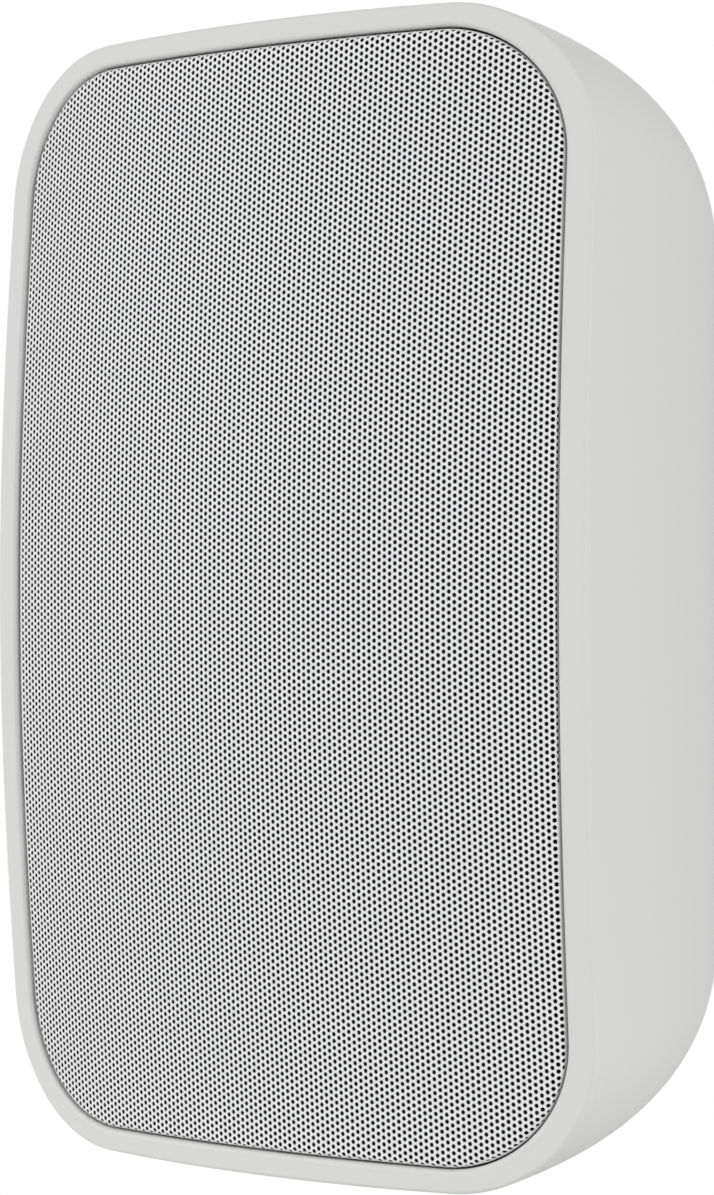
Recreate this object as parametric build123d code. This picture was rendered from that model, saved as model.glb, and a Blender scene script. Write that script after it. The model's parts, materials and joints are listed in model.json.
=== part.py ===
from build123d import *
import math
import os

os.makedirs("parts", exist_ok=True)

# Outdoor patio speaker: a white moulded pod with a convex front and a perforated metal grille.
# Millimetres. +Z is up, +X is to the right of someone facing the grille, and the grille faces -Y.
# The origin is the middle of the bracket mount, on the flat back face.
# Depths are measured from the foremost point of the front, back along +Y.
# Width and height are the outline's at that depth; the walls draw in behind it.

# Pod
WIDTH = 198.1
HEIGHT = 304.8
DEPTH = 175.0
CORNER_RADIUS = 42.2
CORNER_FALL = 0.12
CORNER_LEAST = 18.0
SIDE_BOW_RADIUS = 8000.0
TOP_BOW_RADIUS = 12000.0
BOW_FADE = 40.0
FRONT_FALL_SIDE = 12.14
FRONT_SIDE_ROUNDING = 0.105
FRONT_FALL_TOP = 6.75
FRONT_TOP_ROUNDING = -0.355
FRONT_FALL_CORNER = 2.89
FRONT_REACH = 1.12
SIDE_DRAFT = 0.05
SIDE_BEND_START = 42.0
SIDE_BEND_RADIUS = 150.0
SIDE_BEND_ANGLE = 30.5
TOP_DRAFT = 0.055
TOP_BEND_START = 5.0
TOP_BEND_RADIUS = 270.0
TOP_BEND_ANGLE = 45.0
BACK_EDGE_RADIUS = 9.0
WALL = 4.0
FRONT_WALL = 16.0

# Rim and grille
RIM_WIDTH = 6.8
RIM_SIDE_EXTRA = 1.5
RIM_OUTER_RADIUS = 1.0
RIM_INNER_RADIUS = 1.2
GRILLE_GAP = 0.85
GRILLE_RECESS = 0.3
GRILLE_THICKNESS = 0.5
GRILLE_EDGE_RADIUS = 2.5
GRILLE_STAND = 0.2
SCRIM_GAP = 0.3
SCRIM_THICKNESS = 0.5
SCRIM_INSET = 1.0

# Perforation: the sheet's staggered lattice, drawn coarser by a whole number
HOLE_PITCH = 1.79
HOLE_DIAMETER = 1.12
HOLE_COARSENING = 10
HOLE_MARGIN = 2.2

# Baffle
BAFFLE_FRONT = 20.0
BAFFLE_THICKNESS = 8.0
BAFFLE_CLEARANCE = 0.4
BAFFLE_GASKET = 1.5
BAFFLE_SCREW_INSET = 12.0
BAFFLE_SCREW_LENGTH = 18.0

# Screws
SCREW_RADIUS = 1.9
SCREW_CLEARANCE = 0.1
SCREW_HEAD_RADIUS = 3.3
SCREW_HEAD_HEIGHT = 2.2

# Drivers, sized and placed to fit the pod
DRIVER_MARGIN = 19.0
DRIVER_SIDE_MARGIN = 16.0
WOOFER_SHARE = 0.2723
TWEETER_SHARE = 0.1509

# Woofer, sizes from its own axis and from the front of the baffle
WOOFER_RADIUS = min(HEIGHT * WOOFER_SHARE, WIDTH / 2 - DRIVER_SIDE_MARGIN)
WOOFER_HEIGHT = WOOFER_RADIUS + DRIVER_MARGIN - HEIGHT / 2
WOOFER_FLANGE = 3.0
WOOFER_GASKET = 1.0
WOOFER_OPENING = WOOFER_RADIUS - 9.5
WOOFER_FIT = 0.3
WOOFER_SCREW_CIRCLE = WOOFER_RADIUS - 4.5
WOOFER_SCREW_COUNT = 6
WOOFER_SCREW_LENGTH = 6.5
WOOFER_SEAT_DEPTH = 42.0
WOOFER_SEAT_RADIUS = WOOFER_RADIUS - 36.0
SPOKE_COUNT = 6
SPOKE_ANGLE = 18.0
SURROUND_ROLL = 6.0
SURROUND_THICKNESS = 1.0
SURROUND_MIDDLE = WOOFER_RADIUS - 18.5
SURROUND_LIP = 4.0
CONE_THICKNESS = 1.0
CONE_DEPTH = 22.0
DUST_CAP_RADIUS = 23.0
DUST_CAP_HEIGHT = 7.6
DUST_CAP_THICKNESS = 0.8
COIL_RADIUS = 16.5
COIL_FORMER = 0.5
COIL_WINDING = 0.9
COIL_WINDING_HEIGHT = 10.0
COIL_GAP = 0.5
SPIDER_DEPTH = 24.0
SPIDER_RADIUS = WOOFER_RADIUS - 28.0
SPIDER_THICKNESS = 0.6
SPIDER_WAVES = 4
TOP_PLATE_RADIUS = 42.0
TOP_PLATE_THICKNESS = 5.0
MAGNET_RADIUS = 45.0
MAGNET_BORE = 22.0
MAGNET_THICKNESS = 15.0
YOKE_THICKNESS = 5.0
POLE_VENT = 5.0

# Tweeter, sizes from its own axis and from the front of the baffle
TWEETER_RADIUS = HEIGHT * TWEETER_SHARE
TWEETER_HEIGHT = HEIGHT / 2 - DRIVER_MARGIN - TWEETER_RADIUS
TWEETER_FLANGE = 4.0
TWEETER_HORN_RADIUS = TWEETER_RADIUS - 10.0
TWEETER_BACK = 9.0
TWEETER_THROAT = 14.8
TWEETER_BARREL = TWEETER_RADIUS - 15.0
TWEETER_SCREW_CIRCLE = TWEETER_RADIUS - 5.0
TWEETER_SCREW_COUNT = 4
TWEETER_SCREW_LENGTH = 7.5
DOME_RADIUS = 12.7
DOME_HEIGHT = 4.6
DOME_THICKNESS = 0.4
DOME_SURROUND = 0.6
DOME_COIL = 0.5
DOME_COIL_LENGTH = 4.6
DOME_COIL_GAP = 0.4
TWEETER_PLATE = 3.0
TWEETER_MAGNET = 9.0
TWEETER_MAGNET_BORE = 17.0
TWEETER_YOKE = 4.0

# Back of the pod: bracket inserts and terminal cup
MOUNT_SPACING = 100.0
INSERT_RADIUS = 4.5
INSERT_BORE = 2.5
INSERT_LENGTH = 12.0
INSERT_FIT = 0.05
INSERT_BOSS = 8.0
CUP_WIDTH = 40.0
CUP_HEIGHT = 52.0
CUP_CORNER = 8.0
CUP_DEPTH = 30.0
CUP_WALL = 2.5
CUP_FLANGE = 6.5
CUP_FLANGE_CORNER = 7.0
CUP_FLANGE_THICKNESS = 2.0
CUP_GASKET = 0.8
CUP_FIT = 0.3
CUP_PAD = 6.0
CUP_SCREW_INSET = 4.2
CUP_SCREW_RADIUS = 1.3
CUP_SCREW_HEAD = 2.5
CUP_SCREW_LENGTH = 9.0
CUP_STANDOFF = 9.4
CUP_STANDOFF_RADIUS = 3.5
CUP_STANDOFF_X = 14.0
CUP_STANDOFF_Z = 19.0

# Spring terminals
POST_X = 9.0
POST_RADIUS = 5.0
POST_BORE = 3.3
POST_HEIGHT = 15.0
POST_FLOOR = 1.0
POST_FOOT_RADIUS = 6.5
POST_FOOT = 1.5
POST_TAIL_RADIUS = 2.5
POST_TAIL = 8.0
WIRE_HOLE = 1.6
WIRE_HOLE_HEIGHT = 10.6
BUTTON_TRAVEL = 4.0
BUTTON_RADIUS = 6.2
BUTTON_CAP = 5.0
BUTTON_GAP = 4.5
BUTTON_FIT = 0.2
SPRING_WIRE = 0.35
SPRING_TURNS = 5
SPRING_SPACE = 8.5

# Crossover
BOARD_WIDTH = 84.0
BOARD_HEIGHT = 104.0
BOARD_THICKNESS = 1.6
BOARD_CORNER = 4.0
BOARD_SCREW_LENGTH = 7.0


def save(shape, name):
    export_step(shape, f"parts/{name}.step")


def draw_in(depth, draft, start, radius, angle):
    """How far a wall has drawn in from the rim: a draft, then a bend, then a straight run."""
    turn = math.radians(angle)
    bent = min(max(depth - start, 0.0), radius * math.sin(turn))
    straight = max(depth - start - bent, 0.0)
    return depth * draft + radius - math.sqrt(radius**2 - bent**2) + straight * math.tan(turn)


def section(depth, inset, side_extra=0.0):
    """Half width, half height and radii of the pod's outline at a depth, drawn in by inset."""
    side_in = draw_in(depth, SIDE_DRAFT, SIDE_BEND_START, SIDE_BEND_RADIUS, SIDE_BEND_ANGLE)
    top_in = draw_in(depth, TOP_DRAFT, TOP_BEND_START, TOP_BEND_RADIUS, TOP_BEND_ANGLE)
    half_w = WIDTH / 2 - side_in - inset - side_extra
    half_h = HEIGHT / 2 - top_in - inset
    corner = max(CORNER_RADIUS - CORNER_FALL * depth, CORNER_LEAST) - inset
    side_bow = SIDE_BOW_RADIUS * (1 + max(depth, 0.0) / BOW_FADE) - inset
    top_bow = TOP_BOW_RADIUS - inset
    return half_w, half_h, corner, side_bow, top_bow


def corner_middle(half_w, half_h, corner, side_bow, top_bow):
    """Centre of the corner arc that runs smoothly into the bowed side and the bowed top."""
    side = Vector(half_w - side_bow, 0)
    top = Vector(0, half_h - top_bow)
    side_reach = side_bow - corner
    top_reach = top_bow - corner
    apart = (top - side).length
    along = (side_reach**2 - top_reach**2 + apart**2) / (2 * apart)
    off = math.sqrt(side_reach**2 - along**2)
    way = (top - side).normalized()
    return side + way * along + Vector(-way.Y, way.X) * off, side, top


def outline(depth, inset=0.0, side_extra=0.0):
    """Face with the pod's outline at a depth: four bowed sides and four round corners."""
    half_w, half_h, corner, side_bow, top_bow = section(depth, inset, side_extra)
    middle, side, top = corner_middle(half_w, half_h, corner, side_bow, top_bow)
    to_side = (middle - side).normalized()
    to_top = (middle - top).normalized()
    a = side + to_side * side_bow
    b = middle + (to_side + to_top).normalized() * corner
    c = top + to_top * top_bow
    arcs = [
        ThreePointArc((a.X, -a.Y), (half_w, 0), (a.X, a.Y)),
        ThreePointArc((a.X, a.Y), (b.X, b.Y), (c.X, c.Y)),
        ThreePointArc((c.X, c.Y), (0, half_h), (-c.X, c.Y)),
        ThreePointArc((-c.X, c.Y), (-b.X, b.Y), (-a.X, a.Y)),
        ThreePointArc((-a.X, a.Y), (-half_w, 0), (-a.X, -a.Y)),
        ThreePointArc((-a.X, -a.Y), (-b.X, -b.Y), (-c.X, -c.Y)),
        ThreePointArc((-c.X, -c.Y), (0, -half_h), (c.X, -c.Y)),
        ThreePointArc((c.X, -c.Y), (b.X, -b.Y), (a.X, -a.Y)),
    ]
    return make_face(arcs)


def at_depth(depth):
    """Drawing plane across the pod at a depth, seen from the front."""
    return Plane.XZ.offset(DEPTH - depth)


def prism(face, front, back):
    """A face drawn on the front view, carried from one depth to another."""
    return extrude(at_depth(back) * face, back - front)


def opening(inset=0.0):
    """Face with the outline of the rim's opening, drawn in by inset."""
    return outline(0, RIM_WIDTH + inset, RIM_SIDE_EXTRA)


def front_face():
    """The convex front: it falls back to the sides and the ends, and most at the corners."""
    square = [1, 0, -1 / 3, 0, 1]
    fourth = [1, -1, 1, -1, 1]
    grid = []
    for i in range(5):
        line = []
        for j in range(5):
            u2 = square[i] * FRONT_REACH**2
            v2 = square[j] * FRONT_REACH**2
            u4 = fourth[i] * FRONT_REACH**4
            v4 = fourth[j] * FRONT_REACH**4
            side = FRONT_FALL_SIDE * (u2 + FRONT_SIDE_ROUNDING * (u4 - u2))
            top = FRONT_FALL_TOP * (v2 + FRONT_TOP_ROUNDING * (v4 - v2))
            fall = side + top + FRONT_FALL_CORNER * u2 * v2
            x = WIDTH / 2 * FRONT_REACH * (i - 2) / 2
            z = HEIGHT / 2 * FRONT_REACH * (j - 2) / 2
            line.append((x, fall - DEPTH, z))
        grid.append(line)
    return Face.make_bezier_surface(grid)


def front_sheet(offset, thickness):
    """Sheet that follows the convex front, drawn in by offset."""
    return Pos(0, offset, 0) * Solid.extrude(front_face(), Vector(0, thickness, 0))


def behind_front(offset):
    """All that lies behind the convex front drawn in by offset."""
    return front_sheet(offset, DEPTH + WALL)


def turned(edges):
    """Ring turned about the Y axis from edges drawn as (radius, depth)."""
    return revolve(make_face(edges), Axis.Y)


def turned_points(points):
    return turned(Polyline(*points, close=True))


def ring(outer, inner, front, back):
    return turned_points([(inner, front), (outer, front), (outer, back), (inner, back)])


def rod(radius, front, back):
    return turned_points([(0, front), (radius, front), (radius, back), (0, back)])


def cap(radius, height, thickness, base):
    """Thin dome that bulges to the front; its rim stands at depth base."""
    sphere = (radius**2 + height**2) / (2 * height)
    half = radius * 0.5
    rise = math.sqrt(sphere**2 - half**2) - sphere + height
    edges = [
        ThreePointArc((0, base - height), (half, base - rise), (radius, base)),
        Line((radius, base), (radius, base + thickness)),
        ThreePointArc(
            (radius, base + thickness),
            (half, base - rise + thickness),
            (0, base - height + thickness),
        ),
        Line((0, base - height + thickness), (0, base - height)),
    ]
    return turned(edges)


def screw(length, radius=SCREW_RADIUS):
    """Pan-head screw with its head in front of depth 0."""
    head = SCREW_HEAD_RADIUS
    return turned_points([
        (0, -SCREW_HEAD_HEIGHT),
        (head * 0.7, -SCREW_HEAD_HEIGHT),
        (head, -SCREW_HEAD_HEIGHT * 0.4),
        (head, 0),
        (radius, 0),
        (radius, length - radius),
        (radius * 0.3, length),
        (0, length),
    ])


def around(count, radius, start=0.0):
    """Places on a circle about the Y axis."""
    places = []
    for i in range(count):
        angle = math.radians(start + 360 * i / count)
        places.append(Pos(radius * math.cos(angle), 0, radius * math.sin(angle)))
    return places


on_baffle = BAFFLE_FRONT - DEPTH
woofer_place = Pos(0, on_baffle, WOOFER_HEIGHT)
tweeter_place = Pos(0, on_baffle, TWEETER_HEIGHT)
baffle_back = BAFFLE_FRONT + BAFFLE_THICKNESS
seat = baffle_back + BAFFLE_GASKET
screw_hole = SCREW_RADIUS + SCREW_CLEARANCE
half_w, half_h, corner_r, side_bow, top_bow = section(0, BAFFLE_SCREW_INSET, RIM_SIDE_EXTRA)
corner_mid = corner_middle(half_w, half_h, corner_r, side_bow, top_bow)[0]
diagonal = corner_r * math.sqrt(0.5)
baffle_screw_spots = [(0, half_h), (0, -half_h), (half_w, 0), (-half_w, 0)]
for x in (-1, 1):
    for z in (-1, 1):
        baffle_screw_spots.append((x * (corner_mid.X + diagonal), z * (corner_mid.Y + diagonal)))
baffle_screw_places = [Pos(x, 0, z) for x, z in baffle_screw_spots]

# Enclosure: one moulding, rim and pod together
stations = [-3.0, 22.0, 45.0, 70.0, 96.0, 120.0, 146.0, DEPTH]
pod = loft([at_depth(d) * outline(d) for d in stations])
pod = fillet(pod.faces().sort_by(Axis.Y)[-1].edges(), BACK_EDGE_RADIUS)
pod = pod & behind_front(0)
pocket = prism(opening(), -20, seat)
pod = pod - pocket
pod = fillet(pod.faces().sort_by(Axis.Y)[0].inner_wires()[0].edges(), RIM_INNER_RADIUS)
pod = fillet(pod.faces().sort_by(Axis.Y)[0].outer_wire().edges(), RIM_OUTER_RADIUS)
hollow_back = DEPTH - WALL
hollow_walls = [(seat, FRONT_WALL), (70.0, FRONT_WALL - 5.5), (120.0, WALL), (hollow_back, WALL)]
hollow = loft([at_depth(d) * outline(d, wall) for d, wall in hollow_walls])
cup_opening = RectangleRounded(CUP_WIDTH + 2 * CUP_FIT, CUP_HEIGHT + 2 * CUP_FIT, CUP_CORNER + CUP_FIT)
flange_w = CUP_WIDTH + 2 * CUP_FLANGE
flange_h = CUP_HEIGHT + 2 * CUP_FLANGE
flange_corner = CUP_FLANGE_CORNER
flange_seat = DEPTH - CUP_FLANGE_THICKNESS - CUP_GASKET
pad_face = RectangleRounded(flange_w + 4, flange_h + 4, flange_corner + 2)
hollow = hollow - prism(pad_face, hollow_back - CUP_PAD, hollow_back)
mount_places = [Pos(0, 0, MOUNT_SPACING / 2), Pos(0, 0, -MOUNT_SPACING / 2)]
for place in mount_places:
    hollow = hollow - place * rod(INSERT_BOSS, -INSERT_LENGTH - WALL, -WALL)
pod = pod - hollow
pod = pod - prism(cup_opening, hollow_back - 2 * CUP_PAD, DEPTH + 1)
flange_room = RectangleRounded(flange_w + 2 * CUP_FIT, flange_h + 2 * CUP_FIT, flange_corner + CUP_FIT)
pod = pod - prism(flange_room, flange_seat, DEPTH + 1)
cup_screw_x = flange_w / 2 - CUP_SCREW_INSET
cup_screw_z = flange_h / 2 - CUP_SCREW_INSET
cup_screw_places = [Pos(x * cup_screw_x, 0, z * cup_screw_z) for x in (-1, 1) for z in (-1, 1)]
for place in cup_screw_places:
    pod = pod - place * rod(CUP_SCREW_RADIUS + SCREW_CLEARANCE, -CUP_SCREW_LENGTH - 0.5, 0)
for place in mount_places:
    pod = pod - place * rod(INSERT_RADIUS + INSERT_FIT, -INSERT_LENGTH, 1)
for place in baffle_screw_places:
    pod = pod - place * Pos(0, seat - DEPTH, 0) * rod(screw_hole, -1, BAFFLE_SCREW_LENGTH)
save(pod, "enclosure")

# Grille: curved sheet with a rolled edge that stands on the baffle
grille_foot = BAFFLE_FRONT - GRILLE_STAND
grille = prism(opening(GRILLE_GAP), -20, grille_foot) & behind_front(GRILLE_RECESS)
grille = fillet(grille.faces().sort_by(Axis.Y)[0].edges(), GRILLE_EDGE_RADIUS)
inside = prism(opening(GRILLE_GAP + GRILLE_THICKNESS), -20, grille_foot)
inside = inside & behind_front(GRILLE_RECESS + GRILLE_THICKNESS)
inside = fillet(inside.faces().sort_by(Axis.Y)[0].edges(), GRILLE_EDGE_RADIUS - GRILLE_THICKNESS)
grille = grille - inside
pitch = HOLE_PITCH * HOLE_COARSENING
hole_radius = HOLE_DIAMETER * HOLE_COARSENING / 2
hole_limit = section(0, RIM_WIDTH + GRILLE_GAP + HOLE_MARGIN + hole_radius, RIM_SIDE_EXTRA)
hole_corner = corner_middle(*hole_limit)[0]
column = pitch * math.sqrt(0.75)
columns = int(hole_limit[0] / column)
rows = int(hole_limit[1] / pitch) + 1
drill = prism(Circle(hole_radius), -1, grille_foot - 0.5)
drills = []
for i in range(-columns, columns + 1):
    for j in range(-rows, rows + 1):
        x = i * column
        z = (j + 0.5 * (i % 2)) * pitch
        over_x = max(abs(x) - hole_corner.X, 0)
        over_z = max(abs(z) - hole_corner.Y, 0)
        if math.hypot(over_x, over_z) <= hole_limit[2]:
            drills.append(Pos(x, 0, z) * drill)
save(grille - drills, "grille")

# Scrim: black cloth on the inside of the grille
scrim = front_sheet(GRILLE_RECESS + GRILLE_THICKNESS + SCRIM_GAP, SCRIM_THICKNESS)
scrim_inset = GRILLE_GAP + GRILLE_EDGE_RADIUS + SCRIM_INSET
save(scrim & prism(opening(scrim_inset), -20, BAFFLE_FRONT), "grille_scrim")

# Baffle: black panel that carries both drivers
baffle = prism(opening(BAFFLE_CLEARANCE), BAFFLE_FRONT, baffle_back)
woofer_rebate = WOOFER_FLANGE + WOOFER_GASKET
baffle = baffle - woofer_place * rod(WOOFER_RADIUS + WOOFER_FIT, -1, woofer_rebate)
baffle = baffle - woofer_place * rod(WOOFER_OPENING, 0, BAFFLE_THICKNESS + 1)
baffle = baffle - tweeter_place * rod(TWEETER_RADIUS + WOOFER_FIT, -1, TWEETER_FLANGE)
baffle = baffle - tweeter_place * rod(TWEETER_BARREL + WOOFER_FIT, 0, BAFFLE_THICKNESS + 1)
woofer_screw_places = around(WOOFER_SCREW_COUNT, WOOFER_SCREW_CIRCLE, 30)
tweeter_screw_places = around(TWEETER_SCREW_COUNT, TWEETER_SCREW_CIRCLE, 45)
for place in woofer_screw_places:
    baffle = baffle - woofer_place * place * rod(screw_hole, 0, WOOFER_SCREW_LENGTH + 0.5)
for place in tweeter_screw_places:
    baffle = baffle - tweeter_place * place * rod(screw_hole, 0, TWEETER_SCREW_LENGTH + 0.4)
sunk = SCREW_HEAD_HEIGHT + GRILLE_STAND
for place in baffle_screw_places:
    baffle = baffle - place * Pos(0, on_baffle, 0) * rod(screw_hole, -1, BAFFLE_THICKNESS + 1)
    baffle = baffle - place * Pos(0, on_baffle, 0) * rod(SCREW_HEAD_RADIUS + SCREW_CLEARANCE, -1, sunk)
save(baffle, "front_baffle")

gasket = prism(opening(BAFFLE_CLEARANCE), baffle_back, seat)
gasket = gasket - prism(outline(0, FRONT_WALL + 1), baffle_back, seat)
for place in baffle_screw_places:
    gasket = gasket - place * Pos(0, baffle_back - DEPTH, 0) * rod(screw_hole, -1, BAFFLE_GASKET + 1)
save(gasket, "baffle_gasket")

baffle_screw = screw(BAFFLE_SCREW_LENGTH)
screw_seat = Pos(0, on_baffle + sunk, 0)
save(Compound([place * screw_seat * baffle_screw for place in baffle_screw_places]), "baffle_screws")

# Woofer frame: flange, cone-shaped basket with windows, spider ledge and magnet seat
frame = turned_points([
    (WOOFER_OPENING - 3.5, 0),
    (WOOFER_RADIUS, 0),
    (WOOFER_RADIUS, WOOFER_FLANGE),
    (WOOFER_OPENING - 0.7, WOOFER_FLANGE),
    (WOOFER_OPENING - 0.7, WOOFER_FLANGE + 6),
    (WOOFER_SEAT_RADIUS, WOOFER_SEAT_DEPTH - 4),
    (WOOFER_SEAT_RADIUS, WOOFER_SEAT_DEPTH),
    (MAGNET_BORE, WOOFER_SEAT_DEPTH),
    (MAGNET_BORE, WOOFER_SEAT_DEPTH - 2.5),
    (WOOFER_SEAT_RADIUS - 2.5, WOOFER_SEAT_DEPTH - 2.5),
    (WOOFER_SEAT_RADIUS - 2.5, SPIDER_DEPTH + 6),
    (SPIDER_RADIUS - 4, SPIDER_DEPTH),
    (SPIDER_RADIUS + 1, SPIDER_DEPTH),
    (WOOFER_OPENING - 3.5, WOOFER_FLANGE + 6),
])
window_outer = WOOFER_OPENING - 4.5
window_inner = SPIDER_RADIUS + 4
window = CenterArc((0, 0), window_outer, SPOKE_ANGLE / 2, 360 / SPOKE_COUNT - SPOKE_ANGLE)
window_in = CenterArc((0, 0), window_inner, SPOKE_ANGLE / 2, 360 / SPOKE_COUNT - SPOKE_ANGLE)
window_ends = [Line(window @ 0, window_in @ 0), Line(window @ 1, window_in @ 1)]
window_face = make_face([window, window_in] + window_ends)
window_cut = extrude(Plane.XZ * window_face, -WOOFER_SEAT_DEPTH)
for i in range(SPOKE_COUNT):
    frame = frame - Rot(0, 360 * i / SPOKE_COUNT, 0) * window_cut
for place in woofer_screw_places:
    frame = frame - place * rod(screw_hole, -1, WOOFER_FLANGE + 1)
save(woofer_place * frame, "woofer_frame")

seal = ring(WOOFER_RADIUS - 1, WOOFER_OPENING, WOOFER_FLANGE, woofer_rebate)
for place in woofer_screw_places:
    seal = seal - place * rod(screw_hole, 0, woofer_rebate + 1)
save(woofer_place * seal, "woofer_gasket")

woofer_screw = screw(WOOFER_SCREW_LENGTH)
save(Compound([woofer_place * place * woofer_screw for place in woofer_screw_places]), "woofer_screws")

# Surround: half roll of rubber between the frame and the cone
roll_out = SURROUND_MIDDLE + SURROUND_ROLL
roll_in = SURROUND_MIDDLE - SURROUND_ROLL
inner_roll = SURROUND_ROLL - SURROUND_THICKNESS
surround = turned([
    Line((roll_out + SURROUND_LIP, 0), (roll_out + SURROUND_LIP, -SURROUND_THICKNESS)),
    Line((roll_out + SURROUND_LIP, -SURROUND_THICKNESS), (roll_out, -SURROUND_THICKNESS)),
    ThreePointArc(
        (roll_out, -SURROUND_THICKNESS),
        (SURROUND_MIDDLE, -SURROUND_THICKNESS - SURROUND_ROLL),
        (roll_in, -SURROUND_THICKNESS),
    ),
    Line((roll_in, -SURROUND_THICKNESS), (roll_in - SURROUND_LIP, -SURROUND_THICKNESS)),
    Line((roll_in - SURROUND_LIP, -SURROUND_THICKNESS), (roll_in - SURROUND_LIP, 0)),
    Line((roll_in - SURROUND_LIP, 0), (SURROUND_MIDDLE - inner_roll, 0)),
    ThreePointArc(
        (SURROUND_MIDDLE - inner_roll, 0),
        (SURROUND_MIDDLE, -inner_roll - SURROUND_THICKNESS),
        (SURROUND_MIDDLE + inner_roll, 0),
    ),
    Line((SURROUND_MIDDLE + inner_roll, 0), (roll_out + SURROUND_LIP, 0)),
])
save(woofer_place * surround, "woofer_surround")

# Cone, dust cap and voice coil
neck = COIL_RADIUS + COIL_FORMER
cone_lip = roll_in - SURROUND_LIP
cone_mid = (cone_lip + neck) / 2
cone_belly = CONE_DEPTH * 0.58
cone = turned([
    Line((roll_in, 0), (roll_in, CONE_THICKNESS)),
    Line((roll_in, CONE_THICKNESS), (cone_lip, CONE_THICKNESS)),
    ThreePointArc(
        (cone_lip, CONE_THICKNESS),
        (cone_mid, cone_belly + CONE_THICKNESS),
        (neck, CONE_DEPTH + CONE_THICKNESS),
    ),
    Line((neck, CONE_DEPTH + CONE_THICKNESS), (neck, CONE_DEPTH)),
    ThreePointArc((neck, CONE_DEPTH), (cone_mid, cone_belly), (cone_lip, 0)),
    Line((cone_lip, 0), (roll_in, 0)),
])
save(woofer_place * cone, "woofer_cone")

cone_arc = ThreePointArc((cone_lip, 0), (cone_mid, cone_belly), (neck, CONE_DEPTH))
cone_centre = cone_arc.arc_center
cap_seat = cone_centre.Y + math.sqrt(cone_arc.radius**2 - (DUST_CAP_RADIUS - cone_centre.X) ** 2)
dust_cap = cap(DUST_CAP_RADIUS, DUST_CAP_HEIGHT, DUST_CAP_THICKNESS, cap_seat - DUST_CAP_THICKNESS)
save(woofer_place * dust_cap, "woofer_dust_cap")

coil_end = WOOFER_SEAT_DEPTH + TOP_PLATE_THICKNESS / 2 + COIL_WINDING_HEIGHT / 2
coil = turned_points([
    (COIL_RADIUS, CONE_DEPTH - 1),
    (neck, CONE_DEPTH - 1),
    (neck, coil_end - COIL_WINDING_HEIGHT),
    (neck + COIL_WINDING, coil_end - COIL_WINDING_HEIGHT),
    (neck + COIL_WINDING, coil_end),
    (COIL_RADIUS, coil_end),
])
save(woofer_place * coil, "woofer_voice_coil")

# Spider: corrugated disc from the coil to the ledge in the frame
spider_lip_in = neck + 3.5
spider_lip_out = SPIDER_RADIUS - 6
wave = (spider_lip_out - spider_lip_in) / (2 * SPIDER_WAVES)
spider_edges = []
for level in (SPIDER_DEPTH - SPIDER_THICKNESS, SPIDER_DEPTH):
    spider_edges.append(Line((neck + 0.1, level), (spider_lip_in, level)))
    for i in range(2 * SPIDER_WAVES):
        start = spider_lip_in + i * wave
        swing = 1.4 if i % 2 else -1.4
        crest = (start + wave / 2, level + swing)
        spider_edges.append(ThreePointArc((start, level), crest, (start + wave, level)))
    spider_edges.append(Line((spider_lip_out, level), (SPIDER_RADIUS, level)))
for radius in (neck + 0.1, SPIDER_RADIUS):
    spider_edges.append(Line((radius, SPIDER_DEPTH - SPIDER_THICKNESS), (radius, SPIDER_DEPTH)))
save(woofer_place * turned(spider_edges), "woofer_spider")

# Woofer magnet system
gap_outer = neck + COIL_WINDING + COIL_GAP
pole = COIL_RADIUS - COIL_GAP
magnet_front = WOOFER_SEAT_DEPTH + TOP_PLATE_THICKNESS
magnet_back = magnet_front + MAGNET_THICKNESS
save(woofer_place * ring(TOP_PLATE_RADIUS, gap_outer, WOOFER_SEAT_DEPTH, magnet_front), "woofer_top_plate")
magnet = ring(MAGNET_RADIUS, MAGNET_BORE, magnet_front, magnet_back)
magnet = fillet(magnet.edges().filter_by(GeomType.CIRCLE).group_by(SortBy.RADIUS)[-1], 1.2)
save(woofer_place * magnet, "woofer_magnet")
yoke = turned_points([
    (POLE_VENT, WOOFER_SEAT_DEPTH - 0.5),
    (pole, WOOFER_SEAT_DEPTH - 0.5),
    (pole, magnet_back),
    (TOP_PLATE_RADIUS, magnet_back),
    (TOP_PLATE_RADIUS - 1.5, magnet_back + YOKE_THICKNESS),
    (POLE_VENT, magnet_back + YOKE_THICKNESS),
])
save(woofer_place * yoke, "woofer_yoke")

# Tweeter faceplate with a short horn
horn_mid = (TWEETER_THROAT + TWEETER_HORN_RADIUS) / 2
faceplate = turned([
    ThreePointArc(
        (TWEETER_HORN_RADIUS, 0),
        (horn_mid, TWEETER_BACK * 0.24),
        (TWEETER_THROAT, TWEETER_BACK - 1.5),
    ),
    Line((TWEETER_THROAT, TWEETER_BACK - 1.5), (TWEETER_THROAT, TWEETER_BACK)),
    Line((TWEETER_THROAT, TWEETER_BACK), (TWEETER_BARREL, TWEETER_BACK)),
    Line((TWEETER_BARREL, TWEETER_BACK), (TWEETER_BARREL, TWEETER_FLANGE)),
    Line((TWEETER_BARREL, TWEETER_FLANGE), (TWEETER_RADIUS, TWEETER_FLANGE)),
    Line((TWEETER_RADIUS, TWEETER_FLANGE), (TWEETER_RADIUS, 0)),
    Line((TWEETER_RADIUS, 0), (TWEETER_HORN_RADIUS, 0)),
])
for place in tweeter_screw_places:
    faceplate = faceplate - place * rod(screw_hole, -1, TWEETER_FLANGE + 1)
save(tweeter_place * faceplate, "tweeter_faceplate")

tweeter_screw = screw(TWEETER_SCREW_LENGTH)
save(Compound([tweeter_place * place * tweeter_screw for place in tweeter_screw_places]), "tweeter_screws")

dome = cap(DOME_RADIUS, DOME_HEIGHT, DOME_THICKNESS, TWEETER_BACK)
save(tweeter_place * dome, "tweeter_dome")

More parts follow.
